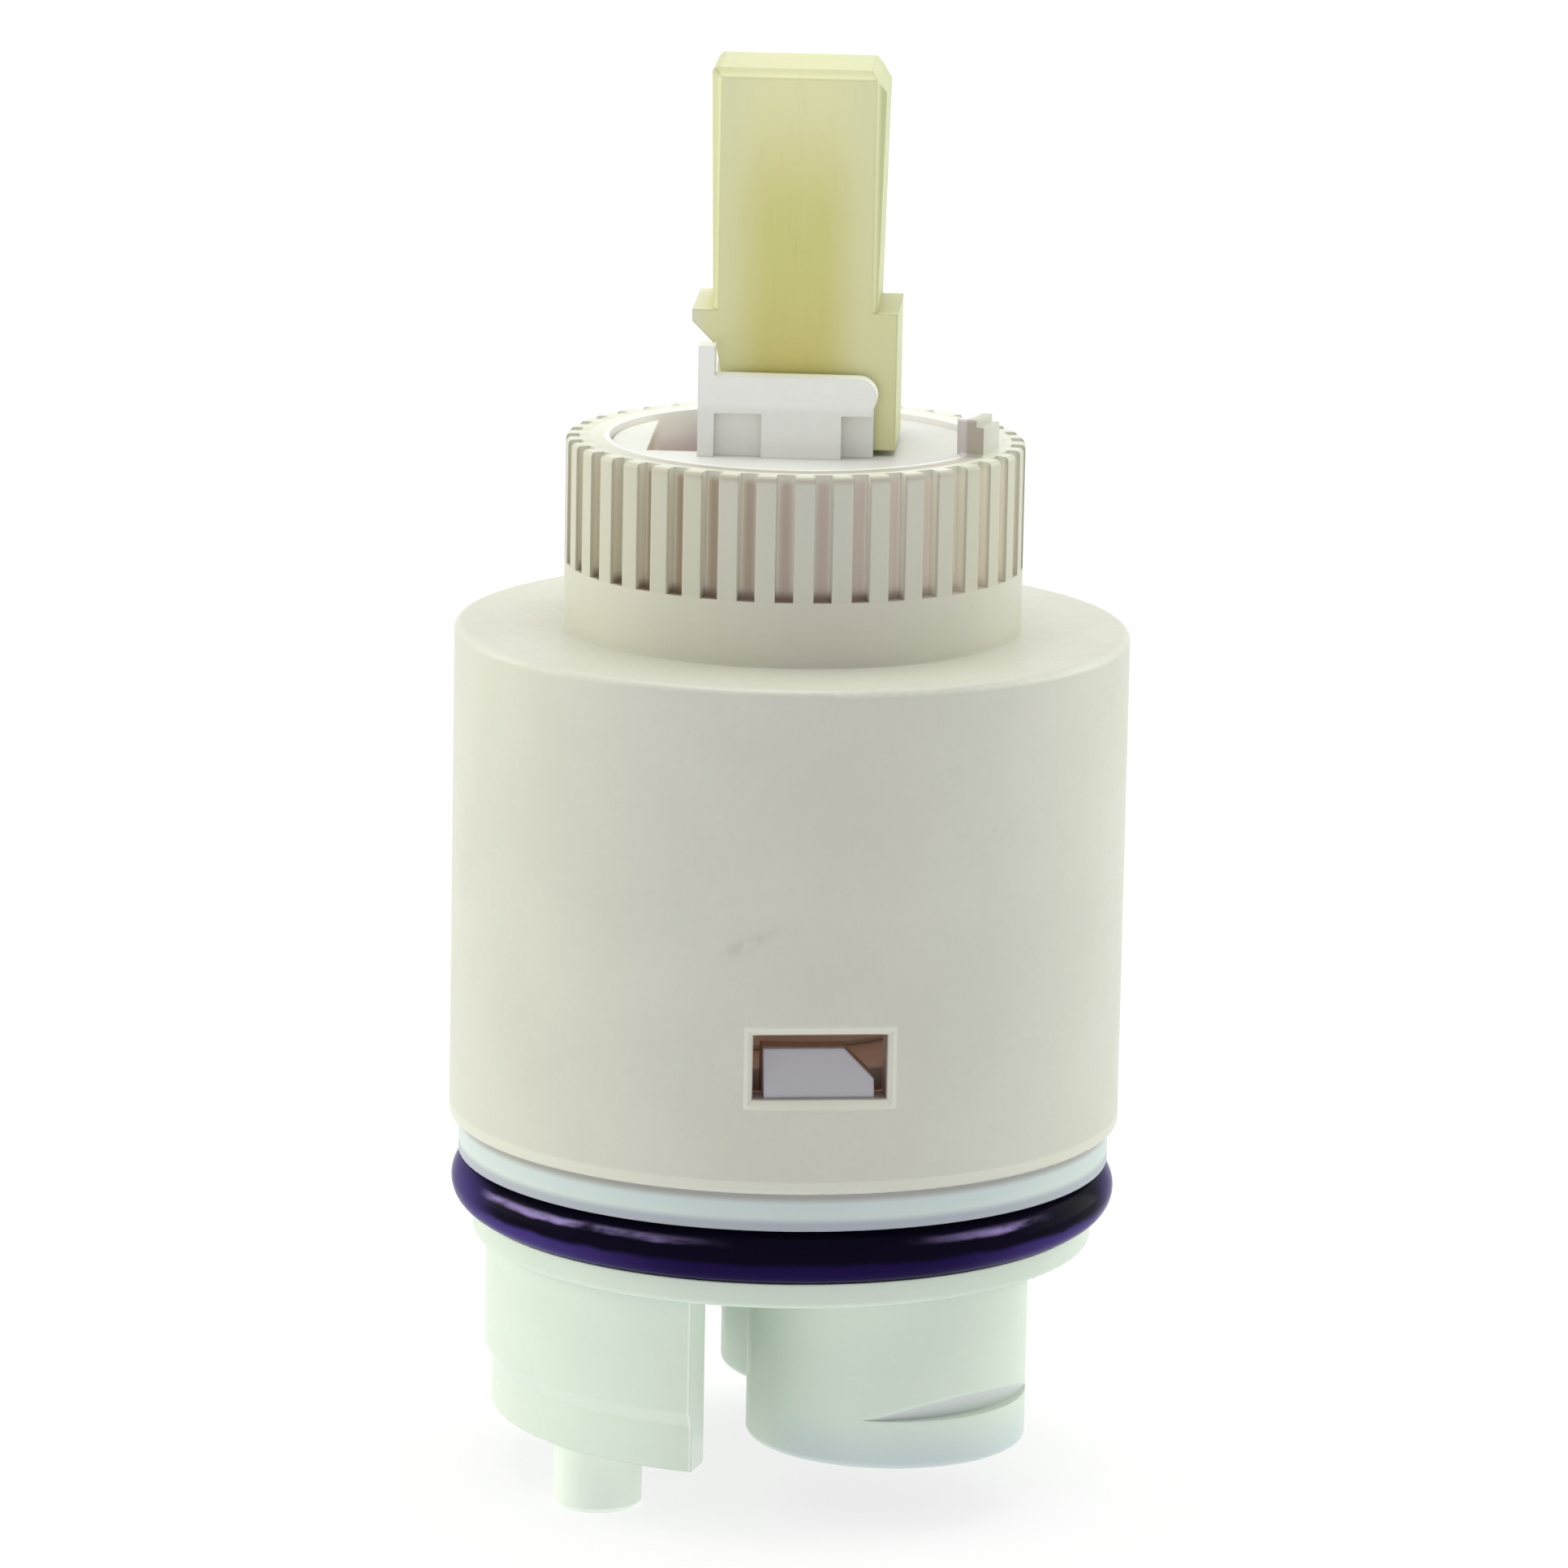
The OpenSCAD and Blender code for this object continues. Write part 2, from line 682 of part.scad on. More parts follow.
module moving_disc() {
    color([0.94, 0.93, 0.90]) at_carrier() at_z(moving_z) difference() {
        bevelled_disc(moving_r, disc_t, disc_bevel);
        translate([-mix_offset, 0, -cut]) cylinder(d = mix_d, h = disc_t + 2 * cut);
        for (side = [-90, 90])
            rotate([0, 0, side])
                translate([moving_r - key_h - seat_gap, -key_w / 2 - seat_gap, disc_t - key_drop - seat_gap])
                    cube([beyond, key_w + 2 * seat_gap, disc_t]);
    }
}

module carrier() {
    socket_r = ball_r + ball_gap;
    mouth = 0.4;
    block_corner = 1;
    groove_w = carrier_seal_wall + 2 * seat_gap;
    color([0.92, 0.92, 0.90]) at_carrier() difference() {
        union() {
            at_z(carrier_z) bevelled_disc(moving_r, carrier_t, disc_bevel);
            translate([-carrier_x, 0, carrier_top_z - weld])
                linear_extrude(block_top_z - carrier_top_z + weld)
                    round_rectangle(block_l, block_w, block_corner);
            // Keys that carry the moving disc along
            intersection() {
                at_z(carrier_z - key_drop) cylinder(r = moving_r, h = key_drop + carrier_t / 2);
                for (side = [-90, 90])
                    rotate([0, 0, side]) translate([moving_r - key_h, -key_w / 2, 0])
                        cube([beyond, key_w, beyond]);
            }
        }
        translate([-mix_offset, 0, carrier_z]) {
            at_z(-cut) cylinder(d = mix_d, h = recess_h + cut);
            at_z(-cut) ring(carrier_groove_r + groove_w, carrier_groove_r, recess_h + cut);
        }
        translate([-carrier_x, 0, ball_z - socket_r]) cylinder(r = socket_r, h = beyond);
        translate([-carrier_x, 0, block_top_z - mouth])
            cylinder(r1 = socket_r, r2 = socket_r + 2 * mouth, h = 2 * mouth);
    }
}

module carrier_seal() {
    color([0.12, 0.12, 0.13]) at_carrier() translate([-mix_offset, 0, carrier_z + recess_h])
        mirror([0, 0, 1]) seal(carrier_groove_r + seat_gap, carrier_seal_wall, recess_h);
}

// Rotor

module glide_ring() {
    color([0.80, 0.82, 0.84]) at_z(ceiling_z - glide_t)
        ring(recess_r - free_gap, bore_r + free_gap, glide_t);
}

// One cheek on the -Y side: post, crosspiece with a round end, pillar, recessed panel and hollow
module cheek() {
    low_z = floor_z - weld;
    cross_z = floor_z + cross_rise;
    outer_y = -cheek_y - cheek_t;
    left_x = -cross_l / 2;
    right_x = cross_l / 2;
    end_step = 0.2;
    pillar_left = pillar_shift - pillar_w / 2;
    pillar_right = pillar_shift + pillar_w / 2;
    translate([cheek_shift, 0, 0]) difference() {
        translate([0, -cheek_y - cheek_t / 2, 0]) upright_plate(cheek_t) {
            translate([left_x - post_w, low_z]) square([post_w, post_h + weld]);
            translate([left_x - post_w, cross_z]) square([cross_l + post_w - cross_h / 2, cross_h]);
            translate([right_x - cross_h / 2, cross_z + cross_h / 2]) circle(d = cross_h);
            translate([left_x - post_w, low_z])
                square([cross_l + post_w - end_step, cross_rise + weld + cross_h / 2]);
        }
        translate([left_x, outer_y - cut, floor_z])
            cube([pillar_left - left_x, cut + panel_recess, cross_rise]);
        translate([pillar_right, outer_y - cut, floor_z])
            cube([cross_l, cut + hollow_recess, cross_rise]);
    }
}

module blade_slot() {
    top = floor_z - pivot_z + cut;
    low = rail_z - pivot_z - cut;
    at_z(pivot_z) upright_plate(slot_t) polygon([[slot_left(top), top], [slot_left(0), 0],
        [-slot_half, low], [slot_right(low), low], [slot_right(0), 0], [slot_half, top]]);
    // Mouth under the side that the lever tilts to, with a drain past the back cheek to the collar's bore
    mouth_x = slot_left(floor_z - pivot_z) - slide_gap;
    drain_x = -cross_l / 2 - cheek_shift - cheek_gap;
    half_t = mouth_t / 2;
    at_z(floor_z - mouth_h) linear_extrude(mouth_h + cut) polygon([[mouth_x, -half_t], [0, -half_t],
        [0, half_t], [drain_x, half_t], [drain_x, beyond], [mouth_x, beyond]]);
}

module rotor() {
    channel_w = block_w + 2 * slide_gap;
    rail_r = flange_r - free_gap;
    color([0.95, 0.95, 0.96]) turned() {
        difference() {
            union() {
                at_z(rail_z) cylinder(r = rail_r, h = flange_low_z - rail_z + weld);
                at_z(flange_low_z) cylinder(r = flange_r, h = flange_t);
                at_z(flange_low_z) cylinder(r = hub_r, h = floor_z - flange_low_z);
            }
            // Channel for the guide block, between the two rails
            translate([-beyond, -channel_w / 2, rail_z - cut])
                cube([2 * beyond, channel_w, flange_low_z - rail_z + cut]);
            blade_slot();
            at_z(pivot_z) rotate([90, 0, 0]) cylinder(r = pin_r + run_gap / 4, h = beyond, center = true);
            at_z(neck_groove_z) ring(bore_r, hub_r - neck_ring_t, neck_groove_h);
            // Recess that runs past the stop rib
            intersection() {
                at_z(rail_z - cut) ring(beyond, recess_r, flange_top_z - rail_z + 2 * cut);
                rotate([0, 0, 180]) wedge(recess_half_angle, 0, beyond);
            }
            upper_edge(hub_r, floor_z, rim_round);
        }
        for (side = [0, 180]) rotate([0, 0, side]) cheek();
    }
}

module neck_o_ring() {
    color([0.09, 0.06, 0.15]) turned() at_z(neck_groove_z + neck_groove_h / 2) rotate_extrude()
        translate([bore_r - run_gap / 2 - neck_ring_t / 2, 0]) circle(d = neck_ring_t);
}

module pivot_pin() {
    tip = 0.3;
    color([0.72, 0.73, 0.75]) turned() at_z(pivot_z) rotate([90, 0, 0]) translate([0, 0, -pin_l / 2])
        bevelled_disc(pin_r, pin_l, tip);
}

// Lever

module lever_body() {
    half = body_w / 2;
    side_step = 0.6;
    side = blade_half + side_step;
    upright_plate(lever_t) polygon([[heel_x, heel_z], [half, heel_z], [half, body_top_z],
        [-half, body_top_z], [-half, body_top_z - nub_h], [-side, body_top_z - nub_h - half + side],
        [-blade_half, sole_z(-blade_half)]]);
}

module stem() {
    low = stem_low_w / 2;
    top = stem_top_w / 2;
    half_t = lever_t / 2;
    foot = body_top_z - weld;
    intersection() {
        upright_plate(lever_t) polygon([[low, foot], [low, body_top_z], [top, stem_top_z - stem_slope_h],
            [top - stem_slope_w, stem_top_z], [-top + stem_corner, stem_top_z],
            [-top, stem_top_z - stem_corner], [-low, body_top_z], [-low, foot]]);
        translate([-beyond, 0, 0]) rotate([90, 0, 90]) linear_extrude(2 * beyond)
            polygon([[-half_t, 0], [half_t, 0], [half_t, stem_top_z - stem_bevel],
                [half_t - stem_bevel, stem_top_z], [-half_t + stem_bevel, stem_top_z],
                [-half_t, stem_top_z - stem_bevel]]);
        linear_extrude(beyond) polygon([[top, -half_t + stem_edge], [top, half_t - stem_edge],
            [top - stem_edge, half_t], [-top + stem_edge, half_t], [-top, half_t - stem_edge],
            [-top, -half_t + stem_edge], [-top + stem_edge, -half_t], [top - stem_edge, -half_t]]);
    }
}

module lever() {
    neck_r = neck_d / 2;
    neck_top_z = block_top_z + free_gap;
    color([0.83, 0.81, 0.58]) turned() difference() {
        union() {
            lever_body();
            stem();
            upright_plate(blade_t) {
                polygon([[-blade_half, pivot_z], [blade_half, pivot_z], [blade_half, heel_z + weld],
                    [heel_x, heel_z + weld], [-blade_half, sole_z(-blade_half) + weld]]);
                polygon([[-blade_half, pivot_z], [blade_half, pivot_z], [neck_r, neck_top_z],
                    [-neck_r, neck_top_z]]);
                translate([0, pivot_z]) circle(blade_half);
            }
            at_z(ball_z) cylinder(r = neck_r, h = neck_top_z + weld - ball_z);
            at_z(ball_z) sphere(ball_r);
        }
        at_z(pivot_z) rotate([90, 0, 0]) cylinder(r = pin_r + run_gap / 2, h = beyond, center = true);
    }
}

housing();
base();
base_o_ring();
hot_port_seal();
cold_port_seal();
outlet_port_seal();
hot_inlet_seal();
cold_inlet_seal();
fixed_disc();
moving_disc();
carrier();
carrier_seal();
glide_ring();
rotor();
neck_o_ring();
pivot_pin();
lever();
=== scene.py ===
import math

import bpy
from mathutils import Matrix, Vector


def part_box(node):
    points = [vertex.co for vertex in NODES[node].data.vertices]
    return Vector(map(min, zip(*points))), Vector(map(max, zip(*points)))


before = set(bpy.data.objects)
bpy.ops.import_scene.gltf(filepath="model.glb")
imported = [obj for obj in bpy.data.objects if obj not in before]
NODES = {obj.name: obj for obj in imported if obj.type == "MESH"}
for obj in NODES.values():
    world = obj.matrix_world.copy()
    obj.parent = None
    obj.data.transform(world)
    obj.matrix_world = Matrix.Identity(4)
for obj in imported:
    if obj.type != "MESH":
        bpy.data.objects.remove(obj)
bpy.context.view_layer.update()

MM = 0.001

# Levels that the pieces give, in millimetres above the floor
BARREL_LOW, LUG_TOP = (corner.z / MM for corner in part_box("housing"))
RING_LOW, RING_TOP = (corner.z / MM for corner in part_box("base_o_ring"))
STEM_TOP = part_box("lever")[1].z / MM

# Other levels, in millimetres above the floor
FEET = 3.5
LAND_LOW = 12.7
RING_MIDDLE = (RING_LOW + RING_TOP) / 2
UPPER_LAND_LOW = BARREL_LOW - 2
WINDOW_MIDDLE = BARREL_LOW + 6.55
SHOULDER = BARREL_LOW + 26
CAVITY_TOP = SHOULDER - 2.5
RIM = SHOULDER + 9.8
GROOVE_FOOT = RIM - 6.45
ROTOR_FLOOR = RIM - 0.25
LEVER_SHOULDER = STEM_TOP - 12.4

# Distances from the axis, in millimetres
BARREL_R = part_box("housing")[1].x / MM
CAVITY_R = BARREL_R - 2
COLLAR_R = 11.85
BORE_R = 9.6
WALL_FOOT_IN_R = 13.1

# Half width and half height of the latch windows, in millimetres
WINDOW_HALF_W = 3.4
WINDOW_HALF_H = 1.65

# Middle and radius of the two inlet tubes, in millimetres
TUBE_X = 4.9
TUBE_Y = 6.8
TUBE_R = 7.25

# Front face of the lever, in millimetres from its middle
LEVER_FRONT = -3.5

# Middle of the smudge on the barrel, in millimetres, and its tilt in degrees
SMUDGE_X = -3.5
SMUDGE_Z = 32.0
SMUDGE_TILT = 24.25

# Turn of the rotor and the lever as drawn, and of the index lug, in degrees
REST_TURN = -9
LUG_TURN = -28

# Grooves around the collar, and the turn of the first one in degrees
GROOVES = 38
GROOVE_TURN = -3.6

# Half of the angle that the wall foot spans, in degrees
WALL_HALF_ANGLE = 67

# Faces that meet at less than this angle, in degrees, look like one round face
ROUND_ANGLE = 24

# The photograph is taken as a square picture of this many pixels
PICTURE_PX = 1932
SENSOR_MM = 36

# Camera, from the cartridge's axis, with angles in degrees
CAMERA_DISTANCE = 450 * MM
CAMERA_HEIGHT = 132.9 * MM
CAMERA_AZIMUTH = -6.14
CAMERA_PITCH = 12.09
CAMERA_AIM = 0.036
CAMERA_ROLL = 1.08
FOCAL_PX = 10906

# Softboxes, all of one size and turned to one point
LAMP_SIDE = 500 * MM
LAMP_AIM = Vector((0, 0, 40 * MM))
LEFT_LIGHT = (0.950, 1.000, 0.750)
RIGHT_LIGHT = (0.890, 1.000, 0.770)
TOP_LIGHT = (1.000, 1.000, 0.980)

# Fill from the world
FILL_LIGHT = (0.975, 0.985, 1.000)
FILL_STRENGTH = 0.50

# Floor of cloth that glows like a light table, with its side in metres
FLOOR_SIDE = 12
FLOOR_CLOTH = (0.88, 0.88, 0.88)
FLOOR_GLOW = 1.06

# Share of the glow near to the axis and far from it, in millimetres, and in stray light
GLOW_NEAR = 50
GLOW_FAR = 300
GLOW_SHARE_NEAR = 0.72
GLOW_SHARE_FAR = 1.0
GLOW_SHARE_STRAY = 0.95

# Colours are linear, here and below
WHITE = (1, 1, 1)
BLACK = (0, 0, 0)

# Beige plastic of the housing, with painted light and shade, and a smudge
BEIGE = (0.612, 0.610, 0.538)
BEIGE_EDGE = (0.730, 0.730, 0.640)
BEIGE_LIT = (0.860, 0.865, 0.770)
# Painted shade, warm on the shoulder and collar band, and duller on the ribs
BEIGE_WARM = (0.620, 0.585, 0.500)
RIB_BEIGE = (0.560, 0.535, 0.430)
# Painted shade, brown, under the rim's front edge, in the grooves and on the lug's end
BROWN_SHADE = (0.330, 0.245, 0.190)
# Tones of painted shade and light in the grooves: left, middle, right, and at their feet
GROOVE_LEFT = (0.500, 0.405, 0.270)
GROOVE_MIDDLE = (0.630, 0.545, 0.490)
GROOVE_RIGHT = (0.860, 0.755, 0.650)
GROOVE_END = (0.250, 0.175, 0.130)
# Painted light and painted shade in the bore, and painted shade on the walls of the rotor's slot
BORE_LIT_PALE = (0.890, 0.860, 0.880)
BORE_SHADE_BROWN = (0.700, 0.625, 0.620)
# Painted shade on the sides inside the latch windows
WINDOW_SHADE_BROWN = (0.270, 0.180, 0.170)
BROWN_GLOW = (0.226, 0.132, 0.102)
GREY_SMUDGE = (0.400, 0.380, 0.390)

# Cool white plastic of the base, with its painted light and shade
COOL_WHITE = (0.690, 0.775, 0.680)
COOL_WHITE_EDGE = (0.810, 0.880, 0.790)
# Painted shade in corners, on the tubes' feet and the upper land, and the colour of specks
COOL_SHADE_AND_SPECKS = (0.450, 0.535, 0.680)
COOL_LIT = (0.850, 0.930, 0.830)
# Painted shadow line under the barrel's edge
SHADOW_LINE_GREY = (0.330, 0.310, 0.290)
# Painted shade in the scoops of the tubes
SCOOP_SHADE_GREY = (0.580, 0.600, 0.620)
RING_SHADE = (0.300, 0.310, 0.420)
# Painted shade on the latch tab and on the skirt inside the barrel
TAB_SHADE_GREY = (0.510, 0.500, 0.535)
SKIRT_SHADE_BROWN = (0.280, 0.155, 0.090)

# White plastic of the rotor
ROTOR_WHITE = (0.925, 0.930, 0.895)
ROTOR_WHITE_EDGE = (0.960, 0.965, 0.925)
ROTOR_SHADE = (0.600, 0.590, 0.570)
WARM_SHADE = (0.540, 0.450, 0.370)

# Straw-coloured plastic of the lever
STRAW_TOP = (0.820, 0.810, 0.470)
STRAW_MIDDLE = (0.660, 0.640, 0.235)
STRAW_LOW = (0.615, 0.550, 0.160)
STRAW_EDGE = (0.770, 0.775, 0.490)
# Painted shade on the left bevel, the right side and the top
STRAW_SIDE_SHADE = (0.470, 0.475, 0.230)
STRAW_PALE = (0.740, 0.735, 0.600)
# Dark fibres, and painted shade in the corners
STRAW_SHADE_AND_FIBRE = (0.430, 0.350, 0.090)

# Greased O-rings, with painted reflections, and dry seals
RING_BLACK = (0.0050, 0.0035, 0.0120)
# Painted reflections, violet low down and at the ends of the ring
RING_REFLECTION_VIOLET = (0.013, 0.006, 0.050)
RING_END_REFLECTION = (0.055, 0.034, 0.185)
RING_SHEEN = (0.330, 0.250, 0.540)
RING_TINT = (0.70, 0.55, 1.00)
SEAL_BLACK = (0.018, 0.018, 0.020)
SEAL_BLOOM = (0.040, 0.040, 0.043)

# Other pieces inside
CERAMIC_CREAM = (0.800, 0.780, 0.720)
CARRIER_WHITE = (0.740, 0.740, 0.700)
GLIDE_GREY = (0.550, 0.590, 0.620)
PIN_GREY = (0.560, 0.570, 0.590)

# How the substances bend light, and how far it spreads in the plastic, in metres
PLASTIC_IOR = 1.49
RUBBER_IOR = 1.45
CERAMIC_IOR = 1.76
PLASTIC_SPREAD = (0.0012, 0.0011, 0.0008)


class Value:
    """One output of a shader node. Operators on it add Math nodes to the same tree."""

    def __init__(self, shader, socket):
        self.shader = shader
        self.socket = socket

    def math(self, operation, *others):
        return self.shader.node("ShaderNodeMath", {"operation": operation}, self, *others)

    def __add__(self, other):
        return self.math("ADD", other)

    __radd__ = __add__

    def __sub__(self, other):
        return self.math("SUBTRACT", other)

    def __rsub__(self, other):
        return self.math("MULTIPLY_ADD", -1.0, other)

    def __mul__(self, other):
        return self.math("MULTIPLY", other)

    __rmul__ = __mul__

    def __truediv__(self, other):
        return self.math("DIVIDE", other)

    def __rtruediv__(self, other):
        return self.math("POWER", -1.0) * other

    def __abs__(self):
        return self.math("ABSOLUTE")


class Shader:
    """The node tree of a material or of the world."""

    def __init__(self, owner, output="ShaderNodeOutputMaterial"):
        self.owner = owner
        owner.use_nodes = True
        self.tree = owner.node_tree
        self.tree.nodes.clear()
        self.output = self.tree.nodes.new(output)

    def node(self, kind, settings=None, *values, out=0, **named):
        """Adds a node, sets its settings, fills its sockets, and gives one of its outputs."""
        made = self.tree.nodes.new(kind)
        for key, value in (settings or {}).items():
            setattr(made, key, value)
        for index, value in enumerate(values):
            self.fill(made.inputs[index], value)
        for key, value in named.items():
            self.fill(made.inputs[key.replace("_", " ")], value)
        return Value(self, made.outputs[out])

    def fill(self, socket, value):
        """Links a value to a socket, or sets a number, vector or colour on it."""
        if isinstance(value, Value):
            self.tree.links.new(value.socket, socket)
        elif socket.type == "RGBA":
            socket.default_value = (*value, 1)
        else:
            socket.default_value = value

    def outputs(self, value, *names):
        """Several outputs of the node that a value comes from."""
        return [Value(self, value.socket.node.outputs[name]) for name in names]

    def place(self):
        """Object coordinates, in metres."""
        return self.node("ShaderNodeTexCoord", out="Object")

    def axes(self):
        """X, Y and Z of the place, in metres."""
        return self.outputs(self.node("ShaderNodeSeparateXYZ", None, self.place()), "X", "Y", "Z")

    def turned_axes(self, degrees):
        """X and Y of the place on axes that are turned about the cartridge's axis, in metres."""
        x, y, _ = self.axes()
        turn = math.radians(degrees)
        return x * math.cos(turn) + y * math.sin(turn), y * math.cos(turn) - x * math.sin(turn)

    def from_axis(self):
        """Distance from the cartridge's axis, in metres."""
        x, y, _ = self.axes()
        return (x * x + y * y).math("SQRT")

    def stretched(self, scale):
        """The place with its axes scaled, for patterns that run along one axis."""
        return self.node("ShaderNodeVectorMath", {"operation": "MULTIPLY"}, self.place(), scale)

    def noise(self, size_mm, detail=3.0, roughness=0.55, place=None):
        """Noise from 0 to 1 with blotches of about size_mm."""
        return self.node("ShaderNodeTexNoise", None, Vector=place or self.place(),
                         Scale=1 / (size_mm * MM), Detail=detail, Roughness=roughness)

    def cells(self, spacing_mm):
        """Distance from the nearest of many scattered points, as a share of their spacing."""
        return self.node("ShaderNodeTexVoronoi", None, Vector=self.place(), Scale=1 / (spacing_mm * MM))

    def range(self, value, low, high, to_low=0.0, to_high=1.0):
        """Maps a value from one range to another, and holds it there."""
        return self.node("ShaderNodeMapRange", {"interpolation_type": "SMOOTHSTEP"}, value,
                         low, high, to_low, to_high)

    def ramp(self, length, low_mm, high_mm, to_low=0.0, to_high=1.0):
        """Maps a length from a range that is given in millimetres to another."""
        return self.range(length, low_mm * MM, high_mm * MM, to_low, to_high)

    def between(self, length, low_mm, high_mm, soft_mm):
        """1 between two places along a line, with soft ends inside them, and 0 outside."""
        return (self.ramp(length, low_mm, low_mm + soft_mm)
                * self.ramp(length, high_mm, high_mm - soft_mm))

    def mix(self, factor, first, second):
        """Colour between two colours."""
        mixed = self.node("ShaderNodeMix", {"data_type": "RGBA"}, factor, out=2)
        self.fill(mixed.socket.node.inputs[6], first)
        self.fill(mixed.socket.node.inputs[7], second)
        return mixed

    def stain(self, tone, colour, where, share=None):
        """Lays a colour over a tone where a mask is 1, in full or by a share."""
        return self.mix(where * share if share else where, tone, colour)

    def softened(self, reach_mm):
        """Normal of the surface with its edges rounded off."""
        return self.node("ShaderNodeBevel", {"samples": 4}, reach_mm * MM)

    def edges(self, reach_mm):
        """1 along the edges, where the rounded normal turns away from the flat one, and 0 elsewhere."""
        flat = self.node("ShaderNodeNewGeometry", out="Normal")
        alike = self.node("ShaderNodeVectorMath", {"operation": "DOT_PRODUCT"},
                          self.softened(reach_mm), flat, out="Value")
        return self.range(alike, 0.995, 0.86)

    def recesses(self, reach_mm):
        """1 deep in corners and grooves of the piece, and 0 on open faces."""
        open_sky = self.node("ShaderNodeAmbientOcclusion", {"samples": 6, "only_local": True}, out="AO",
                             Distance=reach_mm * MM)
        return self.range(open_sky, 0.92, 0.25)

    def bump(self, height, depth_mm, edge_mm):
        """Normal of a fine relief on a surface with softened edges."""
        return self.node("ShaderNodeBump", None, Strength=1.0, Distance=depth_mm * MM,
                         Height=height, Normal=self.softened(edge_mm))

    def seen(self):
        """1 for what the camera sees straight, mirrored or through a piece, and 0 for stray light."""
        path = self.node("ShaderNodeLightPath")
        straight, mirrored, through = self.outputs(
            path, "Is Camera Ray", "Is Glossy Ray", "Is Transmission Ray")
        return straight.math("MAXIMUM", mirrored).math("MAXIMUM", through)

    def surface(self, value):
        """Links the finished surface to the output, and gives the material or the world."""
        self.tree.links.new(value.socket, self.output.inputs[0])
        return self.owner

    def finish(self, colour, roughness, normal, constants, glow=None):
        """The surface: what varies is linked, and what is the same all over is set on the socket."""
        skin = self.node("ShaderNodeBsdfPrincipled", None, Base_Color=colour, Roughness=roughness,
                         Normal=normal)
        sockets = skin.socket.node.inputs
        for key, value in constants.items():
            self.fill(sockets[key], value)
        if glow:
            self.fill(sockets["Emission Color"], glow)
            self.fill(sockets["Emission Strength"], 1.0)
        return self.surface(skin)


def material(name):
    return Shader(bpy.data.materials.new(name))


def scaled(colour, factor):
    return tuple(channel * factor for channel in colour)


def clouded(shader, colour, spread):
    """A colour with faint clouds of tone, lighter and darker by the spread."""
    clouds = shader.noise(8)
    fine = shader.noise(0.5, detail=3)
    cloudy = shader.range(clouds * 0.75 + fine * 0.25, 0.35, 0.65)
    return shader.mix(cloudy, scaled(colour, 1 - spread), scaled(colour, 1 + spread))


def specks(shader, spacing_mm, size):
    """Sparse small specks, 1 inside a speck."""
    patchy = shader.range(shader.noise(6), 0.52, 0.66)
    return shader.range(shader.cells(spacing_mm), size, size * 0.6) * patchy


def moulded(shader, tone, roughness, edge_mm, depth, glow=None):
    """Satin skin of moulded plastic: fine grain, faint waves, and a gloss that changes with both."""
    grain = shader.noise(0.22, detail=2)
    waves = shader.noise(3.5)
    rub = shader.noise(1.1, detail=4, roughness=0.7)
    gloss = shader.range(grain * 0.3 + waves * 0.3 + rub * 0.4, 0.35, 0.65,
                         roughness - 0.07, roughness + 0.09)
    relief = shader.bump(grain + waves * 2.5, 0.004, edge_mm)
    constants = {"IOR": PLASTIC_IOR, "Subsurface Weight": depth, "Subsurface Radius": PLASTIC_SPREAD}
    return shader.finish(tone, gloss, relief, constants, glow)


def painted_rim_light_and_shade(shader, tone):
    """Rim of the collar with a painted highlight, palest at the back, and painted shade under its front
    edge.
    """
    _, y, z = shader.axes()
    rim = shader.between(z, RIM - 0.14, RIM + 0.20, 0.08) * shader.ramp(y, -9, 8, 0.05, 0.85)
    tone = shader.stain(tone, BEIGE_LIT, rim)
    under_front = shader.ramp(z, RIM - 0.45, RIM - 0.20) * shader.ramp(y, -4, -9)
    return shader.stain(tone, BROWN_SHADE, under_front, share=0.5)


def painted_band_shading(shader, tone):
    """Painted shade: a warm shoulder and collar band, and ribs that are duller to the sides; and a painted
    highlight as a pale lip on the barrel.
    """
    x, _, z = shader.axes()
    warm = shader.between(z, SHOULDER - 0.1, GROOVE_FOOT + 0.25, 0.3)
    tone = shader.stain(tone, BEIGE_WARM, warm, share=0.7)
    ribs = shader.between(z, GROOVE_FOOT - 0.05, RIM + 0.1, 0.1)
    ribs = ribs * shader.ramp(shader.from_axis(), COLLAR_R - 1.25, COLLAR_R - 1.05)
    tone = shader.stain(tone, RIB_BEIGE, ribs * shader.ramp(abs(x), 3, 10, 0.3, 0.8))
    lip = shader.between(z, BARREL_LOW - 0.02, BARREL_LOW + 0.75, 0.15)
    return shader.stain(tone, BEIGE_EDGE, lip, share=0.6)


def window_rims(shader, tone):
    """Painted highlight on the rims around the latch windows, and painted shade, brown, on the sides inside
    them.
    """
    x, _, z = shader.axes()
    past_side = abs(x) - WINDOW_HALF_W * MM
    past_end = abs(z - WINDOW_MIDDLE * MM) - WINDOW_HALF_H * MM
    beyond = past_side.math("MAXIMUM", past_end)
    tone = shader.stain(tone, BEIGE_EDGE, shader.ramp(beyond, 0.55, 0.40))
    inner_side = shader.ramp(beyond, 0.08, 0.04)
    inner_side = inner_side * shader.ramp(shader.from_axis(), BARREL_R - 0.15, BARREL_R - 0.35)
    return shader.stain(tone, WINDOW_SHADE_BROWN, inner_side, share=0.75)


